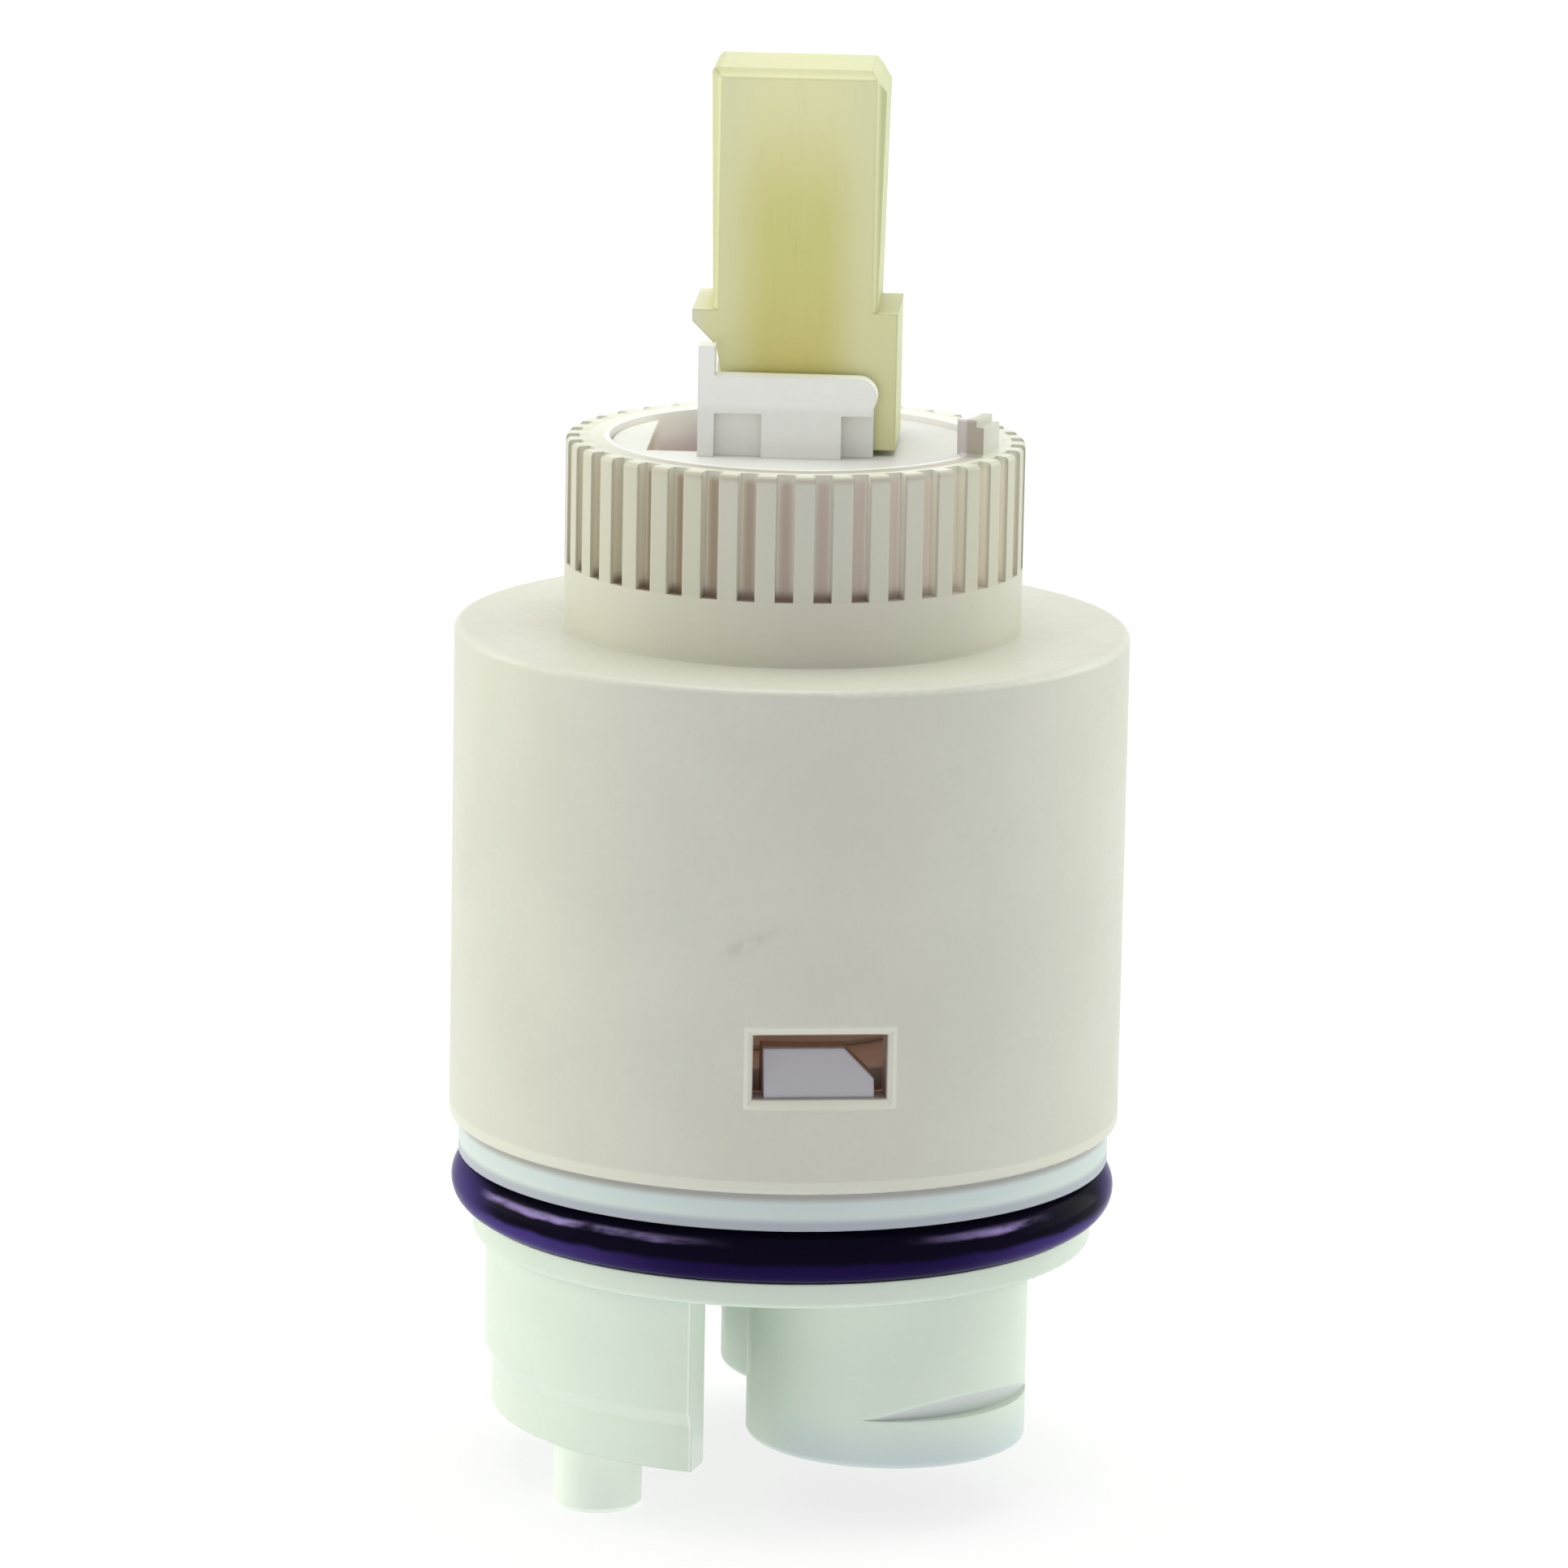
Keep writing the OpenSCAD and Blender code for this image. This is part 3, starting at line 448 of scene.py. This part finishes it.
def painted_groove_shade(shader, tone):
    """Painted shade in the grooves, darker along their middles and at their feet, and painted light that
    makes them paler to the right.
    """
    x, y, z = shader.axes()
    away = shader.from_axis()
    step = math.radians(360 / GROOVES)
    turns = (y.math("ARCTAN2", x) - math.radians(GROOVE_TURN)) / step
    off_middle = abs(turns - turns.math("ROUND")) * away * step
    groove_shade = shader.mix(shader.ramp(x, -9, 0), GROOVE_LEFT, GROOVE_MIDDLE)
    groove_shade = shader.stain(groove_shade, GROOVE_RIGHT, shader.ramp(x, 0, 10) * shader.ramp(y, -2, -6))
    groove_shade = shader.stain(groove_shade, BEIGE_LIT, shader.ramp(off_middle, 0.24, 0.42), share=0.6)
    core = shader.ramp(off_middle, 0.30, 0.08) * shader.ramp(x, 5, -7, 0.0, 0.55)
    groove_shade = shader.stain(groove_shade, BROWN_SHADE, core)
    groove_shade = shader.stain(groove_shade, BEIGE_EDGE, shader.ramp(z, RIM - 0.60, RIM - 0.10), share=0.8)
    foot = shader.ramp(z, GROOVE_FOOT + 0.65, GROOVE_FOOT + 0.05) * shader.ramp(x, 8, 2, 0.2, 0.8)
    groove_shade = shader.stain(groove_shade, GROOVE_END, foot)
    in_groove = shader.ramp(away, COLLAR_R - 0.05, COLLAR_R - 0.30)
    in_groove = in_groove * shader.ramp(away, COLLAR_R - 1.25, COLLAR_R - 1.05)
    in_groove = in_groove * shader.between(z, GROOVE_FOOT - 0.05, RIM + 0.1, 0.02)
    return shader.stain(tone, groove_shade, in_groove)


def painted_bore_light_and_shade(shader, tone):
    """Bore of the collar, with painted light at the top and painted shade, brown, lower down."""
    _, _, z = shader.axes()
    bore = shader.ramp(shader.from_axis(), BORE_R + 0.4, BORE_R + 0.2)
    bore = bore * shader.ramp(z, SHOULDER + 4, SHOULDER + 5)
    bore_tone = shader.mix(shader.ramp(z, RIM - 1.0, RIM - 2.2), BORE_LIT_PALE, BORE_SHADE_BROWN)
    return shader.stain(tone, bore_tone, bore)


def painted_lug_shade(shader, tone):
    """Painted shade, brown, on the end of the index lug."""
    x, _, z = shader.axes()
    _, along_rim = shader.turned_axes(LUG_TURN)
    lug_end = shader.ramp(along_rim, -1.00, -1.12) * shader.between(z, RIM + 0.1, LUG_TOP - 0.04, 0.1)
    return shader.stain(tone, BROWN_SHADE, lug_end * shader.ramp(x, 7.5, 7.8), share=0.45)


def smudge_and_specks(shader, tone):
    """One broken smudge across the front of the barrel, and a few specks all over."""
    x, y, z = shader.axes()
    from_x = x - SMUDGE_X * MM
    from_z = z - SMUDGE_Z * MM
    tilt = math.radians(SMUDGE_TILT)
    along = from_x * math.cos(tilt) + from_z * math.sin(tilt)
    across = from_z * math.cos(tilt) - from_x * math.sin(tilt)
    smudge = shader.ramp(abs(along), 2.8, 0.6) * shader.ramp(abs(across), 0.60, 0.05)
    smudge = smudge * shader.ramp(y, 0, -1) * shader.range(shader.noise(0.9), 0.30, 0.70)
    tone = shader.stain(tone, GREY_SMUDGE, smudge, share=0.4)
    return shader.stain(tone, GREY_SMUDGE, specks(shader, 2.4, 0.06), share=0.3)


def painted_cavity_glow(shader):
    """Painted glow in the cavity, an emission that stands in for light that comes through the barrel's
    wall.
    """
    _, _, z = shader.axes()
    inside = shader.ramp(shader.from_axis(), CAVITY_R + 0.12, CAVITY_R + 0.05)
    inside = inside * shader.between(z, BARREL_LOW - 0.1, CAVITY_TOP + 0.1, 0.1)
    return shader.mix(inside, BLACK, BROWN_GLOW)


def beige_housing():
    """Beige plastic with pale edges, painted light and shade on rim, grooves and lug, a painted glow, a
    smudge and a few specks.
    """
    shader = material("beige_housing")
    tone = clouded(shader, BEIGE, 0.025)
    tone = shader.stain(tone, BEIGE_EDGE, shader.edges(0.22), share=0.7)
    for layer in (painted_rim_light_and_shade, painted_band_shading, window_rims, painted_groove_shade, painted_bore_light_and_shade, painted_lug_shade,
                  smudge_and_specks):
        tone = layer(shader, tone)
    return moulded(shader, tone, roughness=0.40, edge_mm=0.14, depth=0.06, glow=painted_cavity_glow(shader))


def corners_and_scoops(shader, tone):
    """Painted shade in the corners and in the scoops in the feet of the tubes, so the scoops are a little
    duller than the tubes, and specks.
    """
    x, y, z = shader.axes()
    from_x = x - TUBE_X * MM
    from_y = abs(y) - TUBE_Y * MM
    from_tube = (from_x * from_x + from_y * from_y).math("SQRT")
    in_scoop = shader.ramp(from_tube, TUBE_R - 0.03, TUBE_R - 0.13)
    in_scoop = in_scoop * shader.between(z, FEET + 2.4, FEET + 4.1, 0.1)
    tone = shader.stain(tone, COOL_SHADE_AND_SPECKS, shader.recesses(1.5) * (1 - in_scoop), share=0.35)
    tone = shader.stain(tone, SCOOP_SHADE_GREY, in_scoop * shader.ramp(z, FEET + 2.6, FEET + 2.7), share=0.75)
    return shader.stain(tone, COOL_SHADE_AND_SPECKS, specks(shader, 2.8, 0.05), share=0.3)


def painted_feet_light_and_shade(shader, tone):
    """Painted light on the ends of the wall foot and on the pegs, and painted shade that makes the tubes
    bluer towards their feet.
    """
    x, y, z = shader.axes()
    round_foot = abs(y).math("ARCTAN2", x * -1) * math.degrees(1)
    foot_end = shader.range(round_foot, WALL_HALF_ANGLE - 0.8, WALL_HALF_ANGLE - 0.2)
    foot_end = foot_end * shader.range(round_foot, WALL_HALF_ANGLE + 0.6, WALL_HALF_ANGLE + 0.3)
    foot_end = foot_end * shader.ramp(shader.from_axis(), WALL_FOOT_IN_R - 1.1, WALL_FOOT_IN_R - 0.8)
    foot_end = foot_end * shader.ramp(z, LAND_LOW - 0.05, LAND_LOW - 0.15)
    tone = shader.stain(tone, COOL_LIT, foot_end, share=0.9)
    tube_feet = shader.ramp(z, FEET + 3.0, FEET + 0.1) * shader.ramp(x, -2, 0)
    tone = shader.stain(tone, COOL_SHADE_AND_SPECKS, tube_feet, share=0.45)
    return shader.stain(tone, COOL_LIT, shader.ramp(z, FEET + 0.02, FEET - 0.20), share=0.9)


def shaded_lands(shader, tone):
    """Upper land in painted shade under the barrel, painted shade and reflection by the O-ring, a painted
    shadow line, and painted shade inside.
    """
    _, _, z = shader.axes()
    upper_land = shader.ramp(z, UPPER_LAND_LOW - 0.5, UPPER_LAND_LOW + 1.2)
    tone = shader.stain(tone, COOL_SHADE_AND_SPECKS, upper_land, share=0.4)
    # Painted shadow line under the barrel's edge
    shadow_line = shader.ramp(z, BARREL_LOW - 0.65, BARREL_LOW - 0.20)
    tone = shader.stain(tone, SHADOW_LINE_GREY, shadow_line, share=0.85)
    # Painted shade and painted reflection just above the O-ring
    by_ring = shader.between(z, UPPER_LAND_LOW - 0.4, UPPER_LAND_LOW + 0.75, 0.45)
    tone = shader.stain(tone, RING_SHADE, by_ring, share=0.7)
    # Painted shade inside the barrel: grey on the latch tab, brown on the skirt
    tone = shader.stain(tone, TAB_SHADE_GREY, shader.ramp(z, BARREL_LOW, BARREL_LOW + 1.5))
    skirt = shader.ramp(z, BARREL_LOW + 0.6, BARREL_LOW + 1.2)
    skirt = skirt * shader.ramp(shader.from_axis(), CAVITY_R + 0.25, CAVITY_R + 0.10)
    return shader.stain(tone, SKIRT_SHADE_BROWN, skirt, share=0.95)


def cool_white_base():
    """Cool white plastic, a little translucent, with painted shade in its corners, on its tubes and lands
    and inside the barrel, and painted light on its feet.
    """
    shader = material("cool_white_base")
    tone = clouded(shader, COOL_WHITE, 0.02)
    tone = shader.stain(tone, COOL_WHITE_EDGE, shader.edges(0.22), share=0.6)
    for layer in (corners_and_scoops, painted_feet_light_and_shade, shaded_lands):
        tone = layer(shader, tone)
    return moulded(shader, tone, roughness=0.36, edge_mm=0.16, depth=0.12)


def white_rotor():
    """White plastic, with painted shade at the foot of its cheeks, warm painted shade in its corners and on
    its slot walls, and on its floor.
    """
    shader = material("white_rotor")
    x, _, z = shader.axes()
    tone = clouded(shader, ROTOR_WHITE, 0.015)
    tone = shader.stain(tone, ROTOR_WHITE_EDGE, shader.edges(0.16), share=0.5)
    cheek_foot = shader.between(z, ROTOR_FLOOR + 0.01, ROTOR_FLOOR + 2.85, 0.6)
    tone = shader.stain(tone, ROTOR_SHADE, cheek_foot, share=0.22)
    # Warm painted shade in the corners
    tone = shader.stain(tone, WARM_SHADE, shader.recesses(1.6), share=0.30)
    # Painted shade, brown, on the walls of the slot
    slot_walls = shader.ramp(z, ROTOR_FLOOR - 0.05, ROTOR_FLOOR - 0.35)
    tone = shader.stain(tone, BORE_SHADE_BROWN, slot_walls, share=0.8)
    # Painted shade on the floor, darker to the right
    floor = shader.between(z, ROTOR_FLOOR - 0.10, ROTOR_FLOOR + 0.07, 0.05)
    tone = shader.stain(tone, ROTOR_SHADE, floor * shader.ramp(x, -6, 6, 0.40, 0.75))
    return moulded(shader, tone, roughness=0.38, edge_mm=0.12, depth=0.08)


def straw_lever():
    """Glass-filled straw plastic: painted light makes it paler at the top and along its edges, painted
    shade dulls its sides, and short upright fibres.
    """
    shader = material("straw_lever")
    _, _, z = shader.axes()
    across, behind = shader.turned_axes(REST_TURN)
    # Painted light and shade: paler towards the top, along the edges and at the left
    tone = shader.mix(shader.ramp(z, LEVER_SHOULDER - 5.9, LEVER_SHOULDER + 4.1), STRAW_LOW, STRAW_MIDDLE)
    tone = shader.stain(tone, STRAW_TOP, shader.ramp(z, LEVER_SHOULDER + 4.1, STEM_TOP - 0.3))
    tone = shader.stain(tone, STRAW_EDGE, shader.ramp(abs(across), 1.2, 3.8), share=0.72)
    tone = shader.stain(tone, STRAW_PALE, shader.ramp(across, -4.3, -5.0), share=0.6)
    tone = shader.stain(tone, STRAW_EDGE, shader.edges(0.3), share=0.25)
    # Painted shade: the left bevel, the right side and the top are duller than the front
    left_bevel = shader.ramp(across, -3.9, -4.2) * shader.ramp(z, LEVER_SHOULDER, LEVER_SHOULDER + 0.5)
    tone = shader.stain(tone, STRAW_SIDE_SHADE, left_bevel, share=0.5)
    right_side = shader.ramp(across, 3.6, 4.1) * shader.ramp(behind, LEVER_FRONT + 0.04, LEVER_FRONT + 0.30)
    tone = shader.stain(tone, STRAW_SIDE_SHADE, right_side, share=0.8)
    tone = shader.stain(tone, STRAW_SIDE_SHADE, shader.ramp(z, STEM_TOP - 0.6, STEM_TOP - 0.1), share=0.55)
    fibres = shader.noise(0.30, detail=3, roughness=0.65, place=shader.stretched((1.0, 1.0, 0.10)))
    tone = shader.stain(tone, STRAW_EDGE, shader.range(fibres, 0.55, 0.80), share=0.12)
    tone = shader.stain(tone, STRAW_SHADE_AND_FIBRE, shader.range(fibres, 0.45, 0.22), share=0.10)
    # Painted shade in the corners
    tone = shader.stain(tone, STRAW_SHADE_AND_FIBRE, shader.recesses(1.2), share=0.6)
    return moulded(shader, tone, roughness=0.38, edge_mm=0.18, depth=0.12)


def plain_moulding(name, colour, roughness):
    """Plain moulded plastic for the pieces inside."""
    shader = material(name)
    tone = clouded(shader, colour, 0.03)
    # Painted shade in the recesses
    tone = shader.stain(tone, scaled(colour, 0.6), shader.recesses(1.2), share=0.4)
    return moulded(shader, tone, roughness, edge_mm=0.12, depth=0.05)


def ring_painted_reflections():
    """Violet-black rubber with painted reflections: violet low down and at its ends, and a pale painted
    sheen.
    """
    shader = material("ring_painted_reflections")
    x, _, z = shader.axes()
    smears = shader.noise(2.6, detail=3)
    # Painted reflection: violet low down and at the ends
    violet = shader.mix(shader.ramp(abs(x), 6, 16), RING_REFLECTION_VIOLET, RING_END_REFLECTION)
    low_side = shader.ramp(z + smears * 0.4 * MM, RING_MIDDLE + 0.15, RING_MIDDLE - 0.20)
    tone = shader.mix(low_side, RING_BLACK, violet)
    # The painted sheen lies to both sides, and stops short of the ring's ends
    drawn_out = shader.noise(3.0, place=shader.stretched((1.0, 1.0, 4.0)))
    sheen = shader.between(z + drawn_out * 0.3 * MM, RING_MIDDLE + 0.65, RING_MIDDLE + 1.15, 0.2)
    sheen = sheen * shader.range(drawn_out, 0.25, 0.60)
    sheen = sheen * shader.ramp(abs(x), 4, 11) * shader.ramp(x, 13, 10) * shader.ramp(x, -16.4, -15.4)
    tone = shader.stain(tone, RING_SHEEN, sheen)
    # Painted reflection at the ends of the ring
    tone = shader.stain(tone, RING_END_REFLECTION, shader.ramp(abs(x), 15.4, 17.2), share=0.9)
    dust = shader.noise(0.25, detail=2)
    gloss = shader.range(smears * 0.7 + dust * 0.3, 0.35, 0.65, 0.14, 0.26)
    relief = shader.bump(dust + smears * 2, 0.002, 0.05)
    constants = {"IOR": RUBBER_IOR, "Specular IOR Level": 0.012, "Specular Tint": RING_TINT}
    return shader.finish(tone, gloss, relief, constants)


def rubber_seal():
    """Plain black rubber with a dull bloom."""
    shader = material("rubber_seal")
    bloom = shader.noise(2.6, detail=4)
    dust = shader.noise(0.25, detail=2)
    tone = shader.mix(shader.range(bloom, 0.42, 0.72), SEAL_BLACK, SEAL_BLOOM)
    gloss = shader.range(bloom * 0.7 + dust * 0.3, 0.35, 0.65, 0.36, 0.60)
    relief = shader.bump(dust + bloom * 2, 0.003, 0.05)
    return shader.finish(tone, gloss, relief, {"IOR": RUBBER_IOR, "Specular IOR Level": 0.3})


def lapped_ceramic():
    """Ground and lapped ceramic: cream, with fine dark specks."""
    shader = material("lapped_ceramic")
    clouds = shader.noise(5)
    tone = shader.mix(shader.range(clouds, 0.3, 0.7), scaled(CERAMIC_CREAM, 0.95), CERAMIC_CREAM)
    flecks = shader.range(shader.cells(0.5), 0.05, 0.12, 0.35, 0.0)
    tone = shader.stain(tone, scaled(CERAMIC_CREAM, 0.6), flecks)
    gloss = shader.range(clouds, 0.3, 0.7, 0.16, 0.26)
    relief = shader.bump(shader.noise(0.2), 0.002, 0.08)
    return shader.finish(tone, gloss, relief, {"IOR": CERAMIC_IOR})


def ground_steel():
    """Ground steel: fine scratches round the pin."""
    shader = material("ground_steel")
    scratches = shader.noise(0.05, detail=4, place=shader.stretched((0.1, 1.0, 0.1)))
    tone = shader.mix(scratches, scaled(PIN_GREY, 0.85), PIN_GREY)
    gloss = shader.range(scratches, 0.3, 0.7, 0.22, 0.38)
    relief = shader.bump(scratches, 0.002, 0.05)
    return shader.finish(tone, gloss, relief, {"Metallic": 1.0})


def paint(finish, *names):
    """Gives pieces a finish."""
    for name in names:
        mesh = NODES[name].data
        mesh.materials.clear()
        mesh.materials.append(finish)


def dress_pieces():
    paint(beige_housing(), "housing")
    paint(cool_white_base(), "base")
    paint(white_rotor(), "rotor")
    paint(straw_lever(), "lever")
    paint(plain_moulding("white_carrier", CARRIER_WHITE, roughness=0.45), "carrier")
    paint(plain_moulding("grey_glide_ring", GLIDE_GREY, roughness=0.34), "glide_ring")
    paint(ring_painted_reflections(), "base_o_ring", "neck_o_ring")
    paint(rubber_seal(), "hot_port_seal", "cold_port_seal", "outlet_port_seal", "hot_inlet_seal",
          "cold_inlet_seal", "carrier_seal")
    paint(lapped_ceramic(), "fixed_disc", "moving_disc")
    paint(ground_steel(), "pivot_pin")


def smooth_pieces():
    """Round faces look round, and corners stay crisp."""
    for piece in NODES.values():
        bpy.ops.object.select_all(action="DESELECT")
        piece.select_set(True)
        bpy.context.view_layer.objects.active = piece
        bpy.ops.object.shade_smooth_by_angle(angle=math.radians(ROUND_ANGLE))


def make_camera():
    azimuth = math.radians(CAMERA_AZIMUTH)
    pitch = math.radians(CAMERA_PITCH)
    yaw = azimuth + math.radians(CAMERA_AIM)
    forward = Vector((-math.sin(yaw) * math.cos(pitch), math.cos(yaw) * math.cos(pitch),
                      -math.sin(pitch)))
    data = bpy.data.cameras.new("camera")
    data.sensor_width = SENSOR_MM
    data.lens = FOCAL_PX * SENSOR_MM / PICTURE_PX
    data.clip_start = 0.01
    data.clip_end = 50
    camera = bpy.data.objects.new("camera", data)
    bpy.context.scene.collection.objects.link(camera)
    turn = forward.to_track_quat("-Z", "Y").to_matrix().to_4x4()
    roll = Matrix.Rotation(math.radians(CAMERA_ROLL), 4, "Z")
    spot = Matrix.Translation((math.sin(azimuth) * CAMERA_DISTANCE, -math.cos(azimuth) * CAMERA_DISTANCE,
                               CAMERA_HEIGHT))
    camera.matrix_world = spot @ turn @ roll
    bpy.context.scene.camera = camera


def softbox(name, place, colour, watts):
    """Square lamp at a place, turned to the middle of the cartridge."""
    data = bpy.data.lights.new(name, "AREA")
    data.size = LAMP_SIDE
    data.color = colour
    data.energy = watts
    lamp = bpy.data.objects.new(name, data)
    bpy.context.scene.collection.objects.link(lamp)
    lamp.location = place
    lamp.rotation_mode = "QUATERNION"
    lamp.rotation_quaternion = (LAMP_AIM - Vector(place)).to_track_quat("-Z", "Y")


def make_lights():
    softbox("left_softbox", place=(-0.53, 0.14, 0.16), colour=LEFT_LIGHT, watts=2.05)
    softbox("right_softbox", place=(0.53, 0.16, 0.14), colour=RIGHT_LIGHT, watts=1.72)
    softbox("top_softbox", place=(0.02, 0.05, 0.60), colour=TOP_LIGHT, watts=2.2)


def make_world():
    """White where the camera sees it, and a plain fill for the rest."""
    world = bpy.data.worlds.new("studio")
    bpy.context.scene.world = world
    shader = Shader(world, "ShaderNodeOutputWorld")
    fill = shader.node("ShaderNodeBackground", None, FILL_LIGHT, FILL_STRENGTH)
    white = shader.node("ShaderNodeBackground", None, WHITE, 1.0)
    shader.surface(shader.node("ShaderNodeMixShader", None, shader.seen(), fill, white))


def make_floor():
    """White floor, lit from below like a light table, that keeps a faint shadow."""
    bpy.ops.object.select_all(action="DESELECT")
    bpy.ops.mesh.primitive_plane_add(size=FLOOR_SIDE, location=(0, 0, 0))
    floor = bpy.context.object
    floor.name = "floor"
    shader = material("white_floor")
    seen = shader.seen()
    seen_share = shader.ramp(shader.from_axis(), GLOW_NEAR, GLOW_FAR, GLOW_SHARE_NEAR, GLOW_SHARE_FAR)
    share = seen * seen_share + (1 - seen) * GLOW_SHARE_STRAY
    cloth = shader.node("ShaderNodeBsdfDiffuse", None, FLOOR_CLOTH)
    glow = shader.node("ShaderNodeEmission", None, WHITE, FLOOR_GLOW)
    lit_cloth = shader.node("ShaderNodeMixShader", None, share, cloth, glow)
    floor.data.materials.append(shader.surface(lit_cloth))


smooth_pieces()
dress_pieces()
make_camera()
make_lights()
make_world()
make_floor()
bpy.context.scene.view_settings.view_transform = "Standard"
